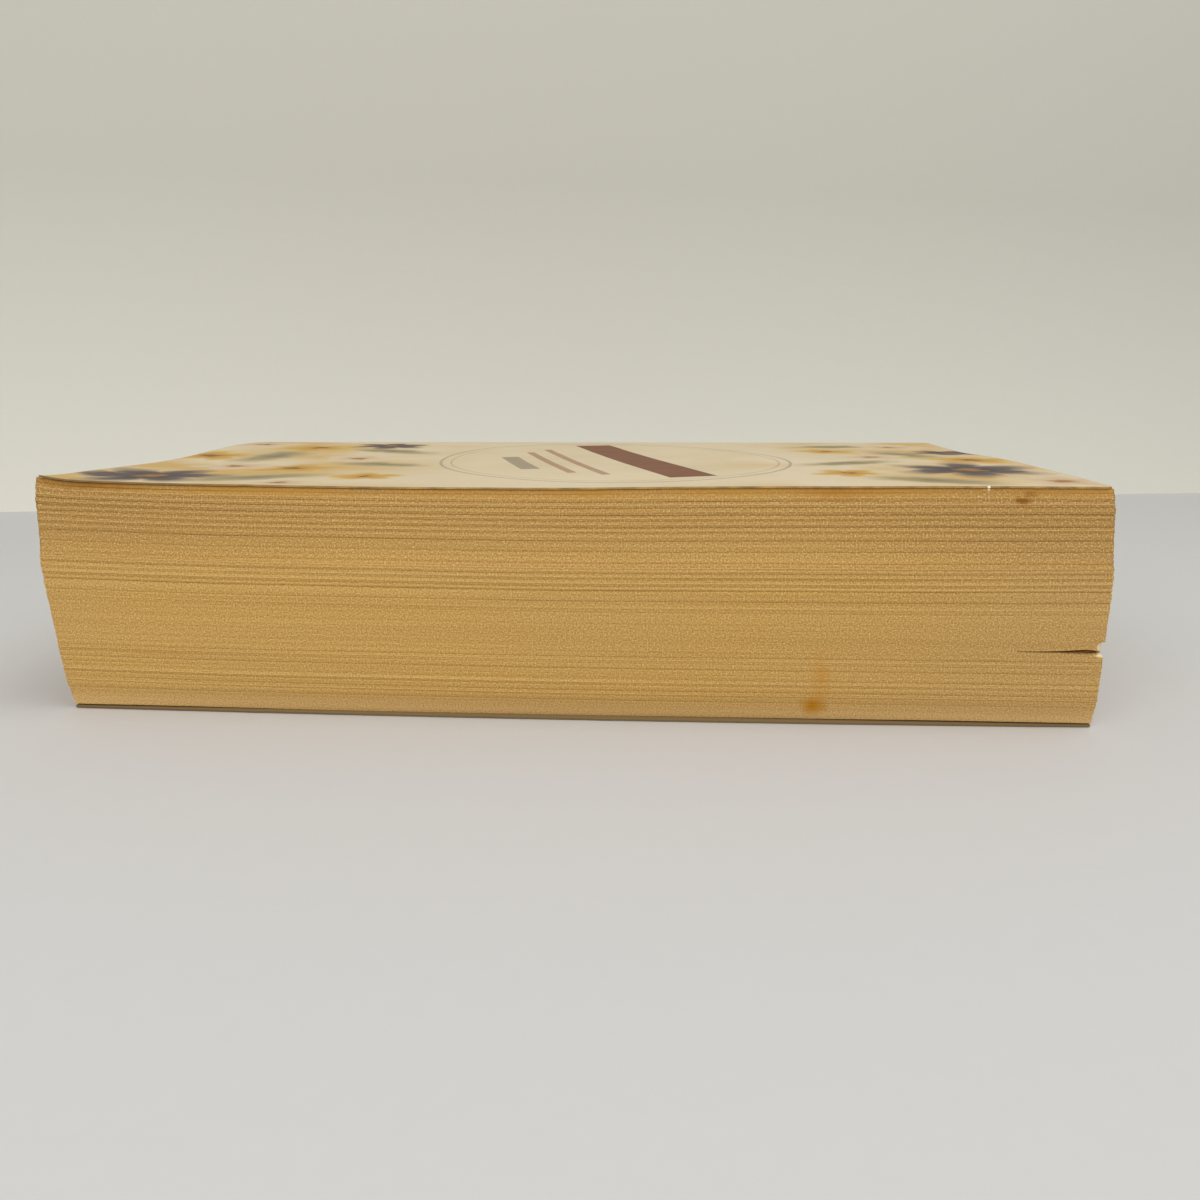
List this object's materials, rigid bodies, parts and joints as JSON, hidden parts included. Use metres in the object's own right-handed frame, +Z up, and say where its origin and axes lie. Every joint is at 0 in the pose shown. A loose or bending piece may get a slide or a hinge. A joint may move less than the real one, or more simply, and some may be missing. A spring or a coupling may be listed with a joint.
{
  "type": "paperback book",
  "caption": "Thick pocket paperback lying on its back cover, leaning and bowed from reading, with hinged card covers.",
  "frame": {"origin": "on the table, under the middle of the book", "axes": "+X from the tail to the head of the book, +Y from the fore-edge to the spine, +Z up through the front cover"},
  "size_m": [0.1764, 0.1112, 0.0406],
  "materials": {
    "pages": "matte",
    "spine_glue": "satin",
    "spine_cover": "satin",
    "front_cover": "satin",
    "back_cover": "satin"
  },
  "bodies": {
    "book_block": {"pages": "pages", "spine_glue": "spine_glue", "spine_cover": "spine_cover"},
    "front_cover": {"front_cover": "front_cover"},
    "back_cover": {"back_cover": "back_cover"}
  },
  "joints": [
    {"name": "front_cover_hinge", "type": "hinge", "parent": "book_block", "child": "front_cover", "pos_m": [0, 0.04734, 0.04066], "axis": [-1, 0, 0], "range_deg": [0, 180]},
    {"name": "back_cover_hinge", "type": "hinge", "parent": "book_block", "child": "back_cover", "pos_m": [0, 0.04904, -0.00005], "axis": [1, 0, 0], "range_deg": [0, 180]}
  ]
}
